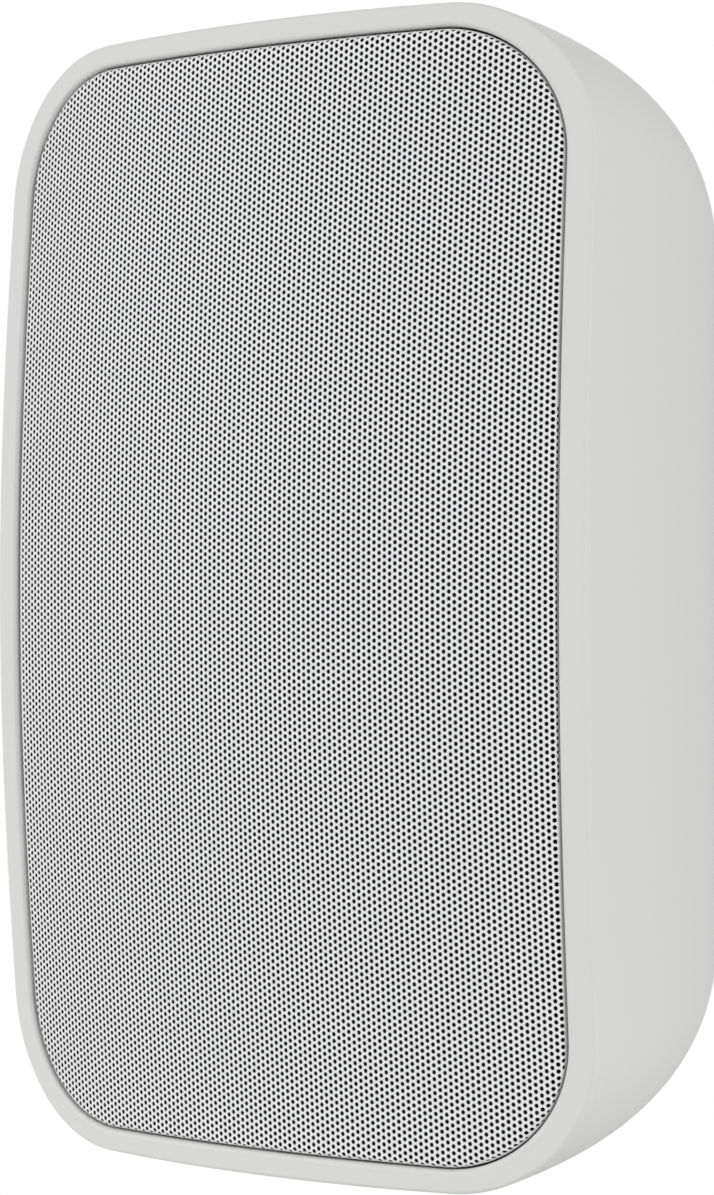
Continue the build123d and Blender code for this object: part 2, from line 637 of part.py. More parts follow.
# Small roll between the dome and the clamped lip
plate_front = TWEETER_BACK + DOME_SURROUND
roll_start = DOME_RADIUS + 0.1
roll_end = TWEETER_THROAT - 0.3
roll_mid = (roll_start + roll_end) / 2
dome_surround = turned([
    Line((roll_start, plate_front), (roll_start, TWEETER_BACK)),
    ThreePointArc((roll_start, TWEETER_BACK), (roll_mid, TWEETER_BACK - 0.8), (roll_end, TWEETER_BACK)),
    Line((roll_end, TWEETER_BACK), (TWEETER_THROAT + 5, TWEETER_BACK)),
    Line((TWEETER_THROAT + 5, TWEETER_BACK), (TWEETER_THROAT + 5, plate_front)),
    Line((TWEETER_THROAT + 5, plate_front), (roll_end, plate_front)),
    ThreePointArc((roll_end, plate_front), (roll_mid, plate_front - 0.8), (roll_start, plate_front)),
])
save(tweeter_place * dome_surround, "tweeter_surround")

dome_coil_front = TWEETER_BACK + DOME_THICKNESS
dome_coil = ring(DOME_RADIUS, DOME_RADIUS - DOME_COIL, dome_coil_front, dome_coil_front + DOME_COIL_LENGTH)
save(tweeter_place * dome_coil, "tweeter_voice_coil")

tweeter_plate_back = plate_front + TWEETER_PLATE
tweeter_magnet_back = tweeter_plate_back + TWEETER_MAGNET
dome_pole = DOME_RADIUS - DOME_COIL - DOME_COIL_GAP
tweeter_rim = TWEETER_BARREL - 1.5
tweeter_plate = ring(tweeter_rim, DOME_RADIUS + DOME_COIL_GAP, plate_front, tweeter_plate_back)
save(tweeter_place * tweeter_plate, "tweeter_top_plate")
tweeter_magnet = ring(TWEETER_BARREL, TWEETER_MAGNET_BORE, tweeter_plate_back, tweeter_magnet_back)
save(tweeter_place * tweeter_magnet, "tweeter_magnet")
tweeter_yoke = turned_points([
    (0, plate_front + 0.8),
    (dome_pole, plate_front + 0.8),
    (dome_pole, tweeter_magnet_back),
    (tweeter_rim, tweeter_magnet_back),
    (tweeter_rim, tweeter_magnet_back + TWEETER_YOKE),
    (0, tweeter_magnet_back + TWEETER_YOKE),
])
save(tweeter_place * tweeter_yoke, "tweeter_yoke")

# Terminal cup: dish let into the back, with standoffs for the crossover on its inner side
cup_floor = DEPTH - CUP_DEPTH
cup = prism(RectangleRounded(CUP_WIDTH, CUP_HEIGHT, CUP_CORNER), cup_floor, DEPTH)
flange_face = RectangleRounded(flange_w, flange_h, flange_corner)
cup = cup + prism(flange_face, DEPTH - CUP_FLANGE_THICKNESS, DEPTH)
dish_w = CUP_WIDTH - 2 * CUP_WALL
dish_h = CUP_HEIGHT - 2 * CUP_WALL
dish = prism(RectangleRounded(dish_w, dish_h, CUP_CORNER - CUP_WALL), cup_floor + CUP_WALL, DEPTH + 1)
dish = fillet(dish.faces().sort_by(Axis.Y)[0].edges(), 2.0)
cup = cup - dish
standoff_places = []
for x in (-CUP_STANDOFF_X, CUP_STANDOFF_X):
    for z in (-CUP_STANDOFF_Z, CUP_STANDOFF_Z):
        standoff_places.append(Pos(x, cup_floor - DEPTH, z))
for place in standoff_places:
    cup = cup + place * rod(CUP_STANDOFF_RADIUS, -CUP_STANDOFF, 0)
    cup = cup - place * rod(CUP_SCREW_RADIUS + SCREW_CLEARANCE, -CUP_STANDOFF, -1)
post_seat = cup_floor + CUP_WALL - DEPTH
post_places = {"red": Pos(POST_X, post_seat, 0), "black": Pos(-POST_X, post_seat, 0)}
for place in post_places.values():
    cup = cup - place * rod(POST_TAIL_RADIUS + SCREW_CLEARANCE, -CUP_WALL - 1, 1)
head_end = CUP_SCREW_RADIUS - CUP_SCREW_HEAD - SCREW_CLEARANCE
head_room = turned_points([
    (0, head_end),
    (CUP_SCREW_RADIUS + SCREW_CLEARANCE, head_end),
    (CUP_SCREW_HEAD + 2 * SCREW_CLEARANCE, 0),
    (0, 0),
])
for place in cup_screw_places:
    cup = cup - place * rod(CUP_SCREW_RADIUS + SCREW_CLEARANCE, -CUP_FLANGE_THICKNESS - 1, 1)
    cup = cup - place * head_room
save(cup, "terminal_cup")

cup_gasket = prism(flange_face, flange_seat, flange_seat + CUP_GASKET)
cup_gasket = cup_gasket - prism(cup_opening, flange_seat, flange_seat + CUP_GASKET)
for place in cup_screw_places:
    cup_gasket = cup_gasket - place * rod(CUP_SCREW_RADIUS + SCREW_CLEARANCE, -CUP_SCREW_LENGTH, 0)
save(cup_gasket, "terminal_gasket")

cup_screw = turned_points([
    (0, -CUP_SCREW_LENGTH),
    (CUP_SCREW_RADIUS * 0.3, -CUP_SCREW_LENGTH),
    (CUP_SCREW_RADIUS, -CUP_SCREW_LENGTH + CUP_SCREW_RADIUS),
    (CUP_SCREW_RADIUS, head_end),
    (CUP_SCREW_HEAD, -SCREW_CLEARANCE),
    (0, -SCREW_CLEARANCE),
])
for angle in (0, 90):
    cup_screw = cup_screw - Rot(0, angle, 0) * Box(CUP_SCREW_HEAD * 1.2, 1.6, 0.6)
save(Compound([place * cup_screw for place in cup_screw_places]), "terminal_screws")

# Spring terminals: brass post, sprung plastic button, coil spring
stem_end = POST_FLOOR + SPRING_SPACE
button_front = POST_HEIGHT + BUTTON_GAP
post = turned_points([
    (0, -POST_TAIL),
    (POST_TAIL_RADIUS, -POST_TAIL),
    (POST_TAIL_RADIUS, 0),
    (POST_FOOT_RADIUS, 0),
    (POST_FOOT_RADIUS, POST_FOOT),
    (POST_RADIUS, POST_FOOT),
    (POST_RADIUS, POST_HEIGHT),
    (POST_BORE, POST_HEIGHT),
    (POST_BORE, POST_FLOOR),
    (0, POST_FLOOR),
])
post = post - Pos(0, WIRE_HOLE_HEIGHT, 0) * Cylinder(WIRE_HOLE, 3 * POST_RADIUS)
button = turned_points([
    (0, stem_end),
    (POST_BORE - BUTTON_FIT, stem_end),
    (POST_BORE - BUTTON_FIT, button_front),
    (BUTTON_RADIUS - 0.6, button_front),
    (BUTTON_RADIUS, button_front + 0.6),
    (BUTTON_RADIUS, button_front + BUTTON_CAP - 1.0),
    (BUTTON_RADIUS - 1.0, button_front + BUTTON_CAP),
    (0, button_front + BUTTON_CAP - 0.6),
])
button = button - Pos(0, WIRE_HOLE_HEIGHT + BUTTON_TRAVEL, 0) * Cylinder(WIRE_HOLE, 3 * POST_RADIUS)
coil_room = SPRING_SPACE - 2 * SPRING_WIRE
coil_radius = POST_BORE - 0.3 - SPRING_WIRE
helix = Helix(coil_room / SPRING_TURNS, coil_room, coil_radius, (0, POST_FLOOR + SPRING_WIRE, 0), (0, 1, 0))
spring = sweep(Plane(helix @ 0, z_dir=helix % 0) * Circle(SPRING_WIRE), helix)
for colour, place in post_places.items():
    save(place * post, f"terminal_post_{colour}")
    save(place * button, f"terminal_button_{colour}")
    save(place * spring, f"terminal_spring_{colour}")

# Crossover board on the standoffs, its parts facing the woofer
board_back = cup_floor - CUP_STANDOFF
board_front = board_back - BOARD_THICKNESS
board = prism(RectangleRounded(BOARD_WIDTH, BOARD_HEIGHT, BOARD_CORNER), board_front, board_back)
board_places = [place * Pos(0, -CUP_STANDOFF, 0) for place in standoff_places]
for place in board_places:
    board = board - place * rod(CUP_SCREW_RADIUS + SCREW_CLEARANCE, -BOARD_THICKNESS, 0)
save(board, "crossover_board")
board_screw = turned_points([
    (0, -1.6),
    (CUP_SCREW_HEAD * 0.7, -1.6),
    (CUP_SCREW_HEAD, -0.6),
    (CUP_SCREW_HEAD, 0),
    (CUP_SCREW_RADIUS, 0),
    (CUP_SCREW_RADIUS, BOARD_SCREW_LENGTH),
    (0, BOARD_SCREW_LENGTH),
])
board_face = Pos(0, -BOARD_THICKNESS, 0)
save(Compound([place * board_face * board_screw for place in board_places]), "crossover_screws")


def bobbin(outer, inner, height):
    """Wound coil on a plastic bobbin, standing on depth 0 towards the front."""
    return turned_points([
        (inner, 0),
        (outer, 0),
        (outer, -1.5),
        (outer - 1.2, -1.5),
        (outer - 1.2, -height + 1.5),
        (outer, -height + 1.5),
        (outer, -height),
        (inner, -height),
    ])


on_board = Pos(0, board_front - DEPTH, 0)
save(on_board * Pos(0, 0, -34) * bobbin(16.5, 7.0, 22.0), "low_pass_inductor")
save(on_board * Pos(26, 0, 31) * bobbin(11.5, 5.0, 16.0), "high_pass_inductor")


def can(radius, length):
    """Capacitor lying on the board, upright along Z."""
    body = Cylinder(radius, length)
    return Pos(0, -radius, 0) * fillet(body.edges().filter_by(GeomType.CIRCLE), 1.0)


save(on_board * Pos(31, 0, -22) * can(8.0, 34.0), "low_pass_capacitor")
save(on_board * Pos(-31, 0, 22) * can(7.0, 30.0), "high_pass_capacitor")
save(on_board * Pos(0, -5.0, 3) * Box(38.0, 10.0, 9.0), "cement_resistor")

# Bracket inserts: brass, threaded inside
insert = ring(INSERT_RADIUS, INSERT_BORE, -INSERT_LENGTH, 0)
insert = chamfer(insert.edges().filter_by(GeomType.CIRCLE).group_by(SortBy.RADIUS)[-1], 0.4)
save(Compound([place * insert for place in mount_places]), "mount_inserts")
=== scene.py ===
import json
import math

import bmesh
import bpy
import numpy as np
from mathutils import Matrix, Vector
from mathutils.geometry import delaunay_2d_cdt


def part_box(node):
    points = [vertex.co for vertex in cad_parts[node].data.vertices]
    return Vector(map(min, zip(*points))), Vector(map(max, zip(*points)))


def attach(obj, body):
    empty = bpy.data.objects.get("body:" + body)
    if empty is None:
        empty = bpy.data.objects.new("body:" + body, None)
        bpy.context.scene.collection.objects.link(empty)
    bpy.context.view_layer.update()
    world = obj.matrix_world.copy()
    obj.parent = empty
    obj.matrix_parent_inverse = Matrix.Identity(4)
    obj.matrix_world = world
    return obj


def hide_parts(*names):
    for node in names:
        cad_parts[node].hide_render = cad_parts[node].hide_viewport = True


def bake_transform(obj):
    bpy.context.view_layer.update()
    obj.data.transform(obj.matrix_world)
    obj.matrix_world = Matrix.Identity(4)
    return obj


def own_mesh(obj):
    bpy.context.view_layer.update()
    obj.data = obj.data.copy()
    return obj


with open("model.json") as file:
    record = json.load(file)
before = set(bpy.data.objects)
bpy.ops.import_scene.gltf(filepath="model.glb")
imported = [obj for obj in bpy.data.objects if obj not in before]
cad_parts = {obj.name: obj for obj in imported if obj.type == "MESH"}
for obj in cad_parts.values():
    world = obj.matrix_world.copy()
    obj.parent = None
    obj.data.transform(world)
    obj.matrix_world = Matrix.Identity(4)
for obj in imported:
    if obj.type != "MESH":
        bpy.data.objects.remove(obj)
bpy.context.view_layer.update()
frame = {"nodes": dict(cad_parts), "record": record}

# Outdoor patio speaker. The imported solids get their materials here, and the grille, the cloth behind it and
# the parts that stretch are made as finer meshes. Sizes are in millimetres, as in the part's source, except
# on the stage; meshes are written in metres.
MM = 0.001

# The pod's front view, a bowed rounded rectangle, and the fall of its convex face
WIDTH = 198.1
HEIGHT = 304.8
DEPTH = 175.0
CORNER_RADIUS = 42.2
SIDE_BOW_RADIUS = 8000.0
TOP_BOW_RADIUS = 12000.0
FRONT_FALL_SIDE = 12.14
FRONT_SIDE_ROUNDING = 0.105
FRONT_FALL_TOP = 6.75
FRONT_TOP_ROUNDING = -0.355
FRONT_FALL_CORNER = 2.89

# The opening in the rim, and the grille's edge in it
RIM_WIDTH = 6.8
RIM_SIDE_EXTRA = 1.5
GRILLE_GAP = 0.85
GRILLE_INSET = RIM_WIDTH + GRILLE_GAP
GRILLE_END_REACH = 0.3
GRILLE_RECESS = 0.3
GRILLE_THICKNESS = 0.5
GRILLE_EDGE_RADIUS = 1.5
GRILLE_LIP = 1.2
GRILLE_FOOT = 19.8
GRILLE_BANDS = ("grille_left", "grille_middle", "grille_right")

# On the flat sheet: where the rolled edge ends, from the grille's outline inwards, and where the sheet ends,
# from the pod's outline inwards
ROLL_END = GRILLE_EDGE_RADIUS * (1 - math.pi / 2)
SHEET_EDGE = GRILLE_INSET + ROLL_END - GRILLE_LIP

# The photographed sheet sits a little deeper along its left side
SAG_DEPTH = 1.1
SAG_START = -66.0
SAG_POWER = 1.5

# Perforation: a staggered lattice on the flat sheet, numbered as it was counted in the photograph. A hole's
# wall is HOLE_WALL deep. On the rolled edge its middle may lie up to HOLE_PAST_LIMIT past the outline.
HOLE_PITCH = 1.79
COLUMN_STEP = HOLE_PITCH * math.sqrt(0.75)
HOLE_RADIUS = 0.63
HOLE_WALL = 0.22
HOLE_SIDES = 8
HOLE_PAST_LIMIT = 0.9
LATTICE_COLUMNS = range(-72, 50)
LATTICE_ROWS = range(-170, 171)
COLUMN_OFFSET = 10.5
ROW_OFFSET = 0.5
LATTICE_SHIFT = (0.77, -0.43)

# Pressing the flat sheet to shape pulls its points in, by shares that grow towards the sides and ends
SHEET_HALF_WIDTH = 91.3
SHEET_HALF_HEIGHT = 146.8
PULL_ACROSS = (0.0068, 0.0017, 0.0038)
PULL_UP = (0.0022, -0.0011, 0.006)

# Seams between the bands, half a column past two columns of holes, and the steps of the sheet's mesh
SEAMS = [(column + COLUMN_OFFSET + 0.5) * COLUMN_STEP for column in (-32, 8)]
SEAM_ROWS = range(-80, 81)
SEAM_MARGIN = 0.5
BORDER_SPACING = 1.3
ROLL_RINGS = 6
ROLL_MARGIN = 0.8
ROLL_SPACING = 0.9
HOLE_CLEARANCE = 0.22
GRID_CELL = 2
MERGE_LIMIT = 1e-6

# Cloth behind the grille
SCRIM_GAP = 0.3
SCRIM_INSET = 1.0
SCRIM_SPACING = 4.0
SCRIM_RINGS = (1.0, 0.85, 0.7, 0.55, 0.4, 0.25, 0.1)

# Parts that stretch with the drivers and the terminal buttons
SURROUND_ROLL = 6.0
SURROUND_LIP = 4.0
SURROUND_THICKNESS = 1.0
SPIDER_NECK = 17.0
SPIDER_NECK_LIP = 3.5
SPIDER_CLEARANCE = 0.1
SPIDER_CLAMP = 6.0
SPIDER_SWING = 1.4
SPIDER_WAVES = 4
SPIDER_THICKNESS = 0.6
DOME_EDGE = 12.8
DOME_CLAMP = 5.3
DOME_ROLL_RISE = 0.8
DOME_ROLL_THICKNESS = 0.6
SPRING_WIRE = 0.35
SPRING_TURNS = 5

# Steps of their meshes
WOOFER_SECTORS = 16
TWEETER_SECTORS = 12
SECTOR_STEPS = 6
SURROUND_STEPS = 24
WAVE_STEPS = 16
DOME_STEPS = 10
SPRING_STEPS = 24
WIRE_SIDES = 8

# Grain of the materials: its layers, how far it varies the roughness, and its height as a share of its size
GRAIN_DETAIL = 3.0
GRAIN_ROUGHNESS = 0.06
GRAIN_HEIGHT = 0.3

# Camera, from the fit of the hole lattice in the photograph; focal length and photograph are in pixels
CAMERA_PLACE = (559.92, -873.85, 3.21)
CAMERA_YAW = 0.6428042
CAMERA_PITCH = -0.0033627
CAMERA_ROLL = -0.0017637
CAMERA_FOCAL = 3423.70
PHOTO_HEIGHT = 1195
SENSOR_SIZE = 36.0

# Stage, in metres: a floor well below the part, which hangs on a wall bracket in use, and soft lights
STAGE_MIDDLE = (0.0, -0.09, 0.0)
FLOOR_HEIGHT = -0.30
FLOOR_RADIUS = 0.62
FLOOR_SIDES = 96
FLOOR_COLOUR = (0.8, 0.795, 0.775, 1.0)
FLOOR_ROUGHNESS = 0.9
WHITE = (1.0, 1.0, 1.0, 1.0)
WORLD_STRENGTH = 0.35
LIGHT_SIZE = 1.2
LIGHTS = (
    ("right_light", (2.22, -0.9, 0.5), 32.0),
    ("left_light", (-1.7, -1.7, 0.5), 32.0),
    ("back_light", (-1.4, 1.2, 1.5), 24.0),
)


class Outline:
    """Bowed rounded rectangle that the rim's opening is drawn in from, and curves at a distance inside it."""

    def __init__(self):
        half_width = WIDTH / 2 - RIM_SIDE_EXTRA
        self.half_height = HEIGHT / 2 + GRILLE_END_REACH
        self.side = np.array([half_width - SIDE_BOW_RADIUS, 0.0])
        self.top = np.array([0.0, self.half_height - TOP_BOW_RADIUS])
        side_reach = SIDE_BOW_RADIUS - CORNER_RADIUS
        top_reach = TOP_BOW_RADIUS - CORNER_RADIUS
        way = self.top - self.side
        apart = np.hypot(*way)
        along = (side_reach**2 - top_reach**2 + apart**2) / (2 * apart)
        off = math.sqrt(side_reach**2 - along**2)
        way = way / apart
        self.corner = self.side + way * along + np.array([-way[1], way[0]]) * off
        self.to_side = (self.corner - self.side) / side_reach
        self.to_top = (self.corner - self.top) / top_reach

    def inside(self, points):
        """Distance inside the outline and the outward direction, for each point."""
        sign = np.where(points < 0, -1.0, 1.0)
        p = np.abs(points)
        best = np.full(len(p), np.inf)
        out = np.zeros_like(p)
        for centre, radius in ((self.side, SIDE_BOW_RADIUS), (self.top, TOP_BOW_RADIUS)):
            d = p - centre
            length = np.hypot(d[:, 0], d[:, 1])
            depth = radius - length
            nearer = depth < best
            best[nearer] = depth[nearer]
            out[nearer] = d[nearer] / length[nearer, None]
        d = p - self.corner
        past_side = self.to_side[0] * d[:, 1] - self.to_side[1] * d[:, 0] > 0
        past_top = d[:, 0] * self.to_top[1] - d[:, 1] * self.to_top[0] > 0
        at_corner = past_side & past_top
        length = np.hypot(d[:, 0], d[:, 1])
        best[at_corner] = CORNER_RADIUS - length[at_corner]
        out[at_corner] = d[at_corner] / length[at_corner, None]
        return best, out * sign

    def curve(self, inset, spacing):
        """Closed run of points at a distance inside the outline, in anticlockwise order."""
        quarter = []
        arcs = (
            (self.side, SIDE_BOW_RADIUS, (1.0, 0.0), self.to_side),
            (self.corner, CORNER_RADIUS, self.to_side, self.to_top),
            (self.top, TOP_BOW_RADIUS, self.to_top, (0.0, 1.0)),
        )
        for centre, radius, first, last in arcs:
            start = math.atan2(first[1], first[0])
            end = math.atan2(last[1], last[0])
            r = radius - inset
            count = max(2, round(r * (end - start) / spacing))
            a = np.linspace(start, end, count, endpoint=False)
            quarter.append(centre + r * np.stack([np.cos(a), np.sin(a)], 1))
        q = np.concatenate(quarter)
        top = np.array([[0.0, self.half_height - inset]])
        left = np.concatenate([top, q[:0:-1]]) * (-1, 1)
        upper = np.concatenate([q, left])
        return np.concatenate([upper, -upper])


outline = Outline()
node_slot = {part["node"]: part["material_slot"] for part in frame["record"]["subparts"]}
looks = {}


def linear(colour):
    """Linear colour from 8-bit sRGB values."""
    shares = [value / 255 for value in colour]
    return [c / 12.92 if c <= 0.04045 else ((c + 0.055) / 1.055) ** 2.4 for c in shares]


def look(name, colour, rough, *, grain, bump, tint, metal=0.0, specular=0.5):
    """Adds a material with a fine grain, its size in millimetres, in its colour, roughness and relief."""
    mat = bpy.data.materials.new(name)
    mat.use_nodes = True
    tree = mat.node_tree
    shader = tree.nodes["Principled BSDF"]
    shader.inputs["Metallic"].default_value = metal
    shader.inputs["Specular IOR Level"].default_value = specular
    place = tree.nodes.new("ShaderNodeTexCoord")
    noise = tree.nodes.new("ShaderNodeTexNoise")
    noise.inputs["Scale"].default_value = 1 / (grain * MM)
    noise.inputs["Detail"].default_value = GRAIN_DETAIL
    tree.links.new(place.outputs["Object"], noise.inputs["Vector"])
    shade = tree.nodes.new("ShaderNodeMix")
    shade.data_type = "RGBA"
    shade.inputs["A"].default_value = (*(c * (1 - tint) for c in linear(colour)), 1.0)
    shade.inputs["B"].default_value = (*(min(c * (1 + tint), 1.0) for c in linear(colour)), 1.0)
    tree.links.new(noise.outputs["Fac"], shade.inputs["Factor"])
    tree.links.new(shade.outputs["Result"], shader.inputs["Base Color"])
    gloss = tree.nodes.new("ShaderNodeMapRange")
    gloss.inputs["To Min"].default_value = rough - GRAIN_ROUGHNESS
    gloss.inputs["To Max"].default_value = rough + GRAIN_ROUGHNESS
    tree.links.new(noise.outputs["Fac"], gloss.inputs["Value"])
    tree.links.new(gloss.outputs["Result"], shader.inputs["Roughness"])
    relief = tree.nodes.new("ShaderNodeBump")
    relief.inputs["Strength"].default_value = bump
    relief.inputs["Distance"].default_value = grain * MM * GRAIN_HEIGHT
    tree.links.new(noise.outputs["Fac"], relief.inputs["Height"])
    tree.links.new(relief.outputs["Normal"], shader.inputs["Normal"])
    looks[name] = mat


def add_looks():
    """One material for each slot of the record, and a near-black one for the grille's flange deep in the gap,
    which is painted shade there.
    """
    look("housing_plastic", (217, 217, 215), 0.6, grain=0.35, bump=0.25, tint=0.012, specular=0.2)
    look("grille_paint", (231, 231, 232), 0.55, grain=0.25, bump=0.2, tint=0.012, specular=0.25)
    # Painted shade: the grille's flange, deep in the gap round the grille, is made near black so that the gap
    # looks dark.
    look("flange_painted_shade", (34, 34, 35), 0.7, grain=0.4, bump=0.3, tint=0.1)
    look("scrim_cloth", (16, 16, 17), 0.95, grain=0.4, bump=0.6, tint=0.25)
    look("baffle_plastic", (28, 28, 29), 0.55, grain=0.5, bump=0.3, tint=0.1)
    look("gasket_rubber", (24, 24, 24), 0.8, grain=0.3, bump=0.5, tint=0.2)
    look("screw_steel", (190, 190, 192), 0.32, grain=0.4, bump=0.1, tint=0.05, metal=1.0)
    look("frame_paint", (32, 32, 33), 0.5, grain=0.4, bump=0.3, tint=0.1)
    look("cone_plastic", (44, 44, 47), 0.45, grain=0.8, bump=0.3, tint=0.1)
    look("surround_rubber", (26, 26, 26), 0.6, grain=0.5, bump=0.2, tint=0.1)
    look("spider_cloth", (186, 152, 92), 0.85, grain=0.5, bump=0.6, tint=0.15)
    look("coil_copper", (196, 116, 72), 0.3, grain=0.3, bump=0.3, tint=0.1, metal=1.0)
    look("plate_steel", (178, 178, 180), 0.35, grain=0.6, bump=0.15, tint=0.06, metal=1.0)
    look("ferrite", (52, 52, 55), 0.6, grain=0.5, bump=0.35, tint=0.12)
    look("dome_aluminium", (214, 214, 218), 0.28, grain=0.3, bump=0.05, tint=0.03, metal=1.0)
    look("tweeter_plastic", (28, 28, 29), 0.5, grain=0.5, bump=0.25, tint=0.1)
    look("board_green", (30, 92, 52), 0.4, grain=1.2, bump=0.1, tint=0.12)
    look("capacitor_sleeve", (38, 48, 118), 0.3, grain=1.0, bump=0.08, tint=0.08)
    look("resistor_cement", (216, 211, 198), 0.85, grain=0.4, bump=0.5, tint=0.06)
    look("cup_plastic", (30, 30, 31), 0.55, grain=0.4, bump=0.3, tint=0.12)
    look("terminal_brass", (214, 180, 106), 0.25, grain=0.5, bump=0.08, tint=0.06, metal=1.0)
    look("button_red", (170, 24, 26), 0.35, grain=0.5, bump=0.1, tint=0.06)
    look("button_black", (26, 26, 27), 0.35, grain=0.5, bump=0.1, tint=0.1)


def paint_nodes():
    """Gives each CAD node the material of its slot."""
    for name, slot in node_slot.items():
        materials = frame["nodes"][name].data.materials
        materials.clear()
        materials.append(looks[slot])


def dress(piece, node):
    """Gives a new piece the material of the CAD node's slot, and hides the node that it stands for."""
    slot = node_slot[node]
    piece.data.materials.append(looks[slot])
    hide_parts(node)


def make_mesh(name, points, faces):
    """New smooth-shaded object from points in millimetres and faces."""
    mesh = bpy.data.meshes.new(name)
    mesh.from_pydata((np.asarray(points) * MM).tolist(), [], [list(map(int, face)) for face in faces])
    mesh.polygons.foreach_set("use_smooth", [True] * len(mesh.polygons))
    mesh.update()
    piece = bpy.data.objects.new(name, mesh)
    bpy.context.scene.collection.objects.link(piece)
    return piece


def strip_loose(piece):
    """Takes out points that no face uses."""
    work = bmesh.new()
    work.from_mesh(piece.data)
    bmesh.ops.delete(work, geom=[v for v in work.verts if not v.link_faces], context="VERTS")
    work.to_mesh(piece.data)
    work.free()


def loop_edges(first, count):
    """Pairs of neighbours in a closed run of points."""
    return [(first + n, first + (n + 1) % count) for n in range(count)]


def row_faces(rows, size):
    """Quads between rows of points that follow each other, each row a closed run."""
    return [
        (k * size + m, k * size + (m + 1) % size, (k + 1) * size + (m + 1) % size, (k + 1) * size + m)
        for k in range(rows - 1)
        for m in range(size)
    ]


def front(points, offset):
    """Depth coordinate of the convex front drawn in by offset, at points of the front view."""
    u2 = (points[:, 0] / (WIDTH / 2)) ** 2
    v2 = (points[:, 1] / (HEIGHT / 2)) ** 2
    side = FRONT_FALL_SIDE * (u2 + FRONT_SIDE_ROUNDING * (u2**2 - u2))
    top = FRONT_FALL_TOP * (v2 + FRONT_TOP_ROUNDING * (v2**2 - v2))
    return offset - DEPTH + side + top + FRONT_FALL_CORNER * u2 * v2


def sag(points):
    """How much deeper the sheet sits towards its left edge."""
    share = np.clip((points[:, 0] - SAG_START) / (-WIDTH / 2 - SAG_START), 0.0, 1.0)
    return SAG_DEPTH * share**SAG_POWER


def rolled(points, level):
    """Points of the front view on the curved sheet, at a level below its face, with the edge rolled back."""
    depth, out = outline.inside(points)
    depth = depth - GRILLE_INSET
    past = np.clip(GRILLE_EDGE_RADIUS - depth, 0.0, None)
    turn = np.minimum(past / GRILLE_EDGE_RADIUS, math.pi / 2)
    straight = past - turn * GRILLE_EDGE_RADIUS
    radius = GRILLE_EDGE_RADIUS - level
    flat = points - out * past[:, None] + out * (radius * np.sin(turn))[:, None]
    back = radius * (1 - np.cos(turn)) + straight
    y = front(flat, GRILLE_RECESS + level) + sag(flat) + back
    return np.stack([flat[:, 0], y, flat[:, 1]], 1)


def on_front(sheet):
    """Where points of the flat sheet stand in the front view once it is pressed to shape."""
    u2 = (sheet[:, 0] / SHEET_HALF_WIDTH) ** 2
    v2 = (sheet[:, 1] / SHEET_HALF_HEIGHT) ** 2
    near, far, cross = PULL_ACROSS
    x = sheet[:, 0] * (1 - near * u2 - far * u2**2 - cross * v2)
    near, far, cross = PULL_UP
    z = sheet[:, 1] * (1 - near * v2 - far * v2**2 - cross * u2)
    return np.stack([x, z], 1) + LATTICE_SHIFT


def hole_centres():
    """Middles of the holes on the flat sheet, as (across, up)."""
    spots = np.array([
        ((i + COLUMN_OFFSET) * COLUMN_STEP, -(k + ROW_OFFSET) * HOLE_PITCH / 2)
        for i in LATTICE_COLUMNS
        for k in LATTICE_ROWS
        if (i + k) % 2 == 0
    ])
    depth = outline.inside(on_front(spots))[0] - GRILLE_INSET
    return spots[depth > -HOLE_PAST_LIMIT]


def hole_rims(centres):
    """Corners of the holes in the front view, hole by hole."""
    angle = (np.arange(HOLE_SIDES) + 0.5) * 2 * math.pi / HOLE_SIDES
    ring = HOLE_RADIUS * np.stack([np.cos(angle), np.sin(angle)], 1)
    return on_front((centres[:, None, :] + ring[None, :, :]).reshape(-1, 2))


def roll_points(middles):
    """Points along the rolled edge that keep clear of the holes, so that it is round between them."""
    grid = {}
    for index, (x, z) in enumerate(middles):
        grid.setdefault((int(x // GRID_CELL), int(z // GRID_CELL)), []).append(index)
    clear = []
    for inset in (*np.linspace(ROLL_END, GRILLE_EDGE_RADIUS, ROLL_RINGS), GRILLE_EDGE_RADIUS + ROLL_MARGIN):
        for x, z in outline.curve(GRILLE_INSET + inset, ROLL_SPACING):
            i, k = int(x // GRID_CELL), int(z // GRID_CELL)
            near = [n for a in (-1, 0, 1) for b in (-1, 0, 1) for n in grid.get((i + a, k + b), ())]
            if all(math.hypot(*(middles[n] - (x, z))) > HOLE_RADIUS + HOLE_CLEARANCE for n in near):
                clear.append((x, z))
    return np.array(clear)


def seam_lines(border):
    """Runs of points between two columns of holes, from the sheet's lower edge to its upper one."""
    lines = []
    up = np.array(SEAM_ROWS) * HOLE_PITCH
    for seam in SEAMS:
        line = on_front(np.stack([np.full(len(up), seam), up], 1))
        line = line[outline.inside(line)[0] > SHEET_EDGE + SEAM_MARGIN]
        aside = np.abs(border[:, 0] - line[0, 0])
        top = border[np.argmin(np.where(border[:, 1] < 0, np.inf, aside))]
        low = border[np.argmin(np.where(border[:, 1] > 0, np.inf, aside))]
        lines.append(np.concatenate([[low], line, [top]]))
    return lines


def cut_sheet(rims, border, clear, seams):
    """Points and triangles of the whole sheet in the front view, with the holes left open."""
    edges = []
    for first in range(0, len(rims), HOLE_SIDES):
        edges += loop_edges(first, HOLE_SIDES)
    edges += loop_edges(len(rims), len(border))
    first = len(rims) + len(border) + len(clear)
    for seam in seams:
        edges += [(first + n, first + n + 1) for n in range(len(seam) - 1)]
        first += len(seam)
    given = [Vector(point) for point in np.concatenate([rims, border, clear, *seams])]
    verts, _, faces, origin, _, _ = delaunay_2d_cdt(given, edges, [], 0, MERGE_LIMIT)
    flat = np.array([(v.x, v.y) for v in verts])
    faces = np.array([face[:] for face in faces])
    source = np.array([o[0] if o else -1 for o in origin])
    hole = np.where((source >= 0) & (source < len(rims)), source // HOLE_SIDES, -1)
    a, b, c = hole[faces].T
    in_hole = (a >= 0) & (a == b) & (b == c)
    return flat, faces[~in_hole]


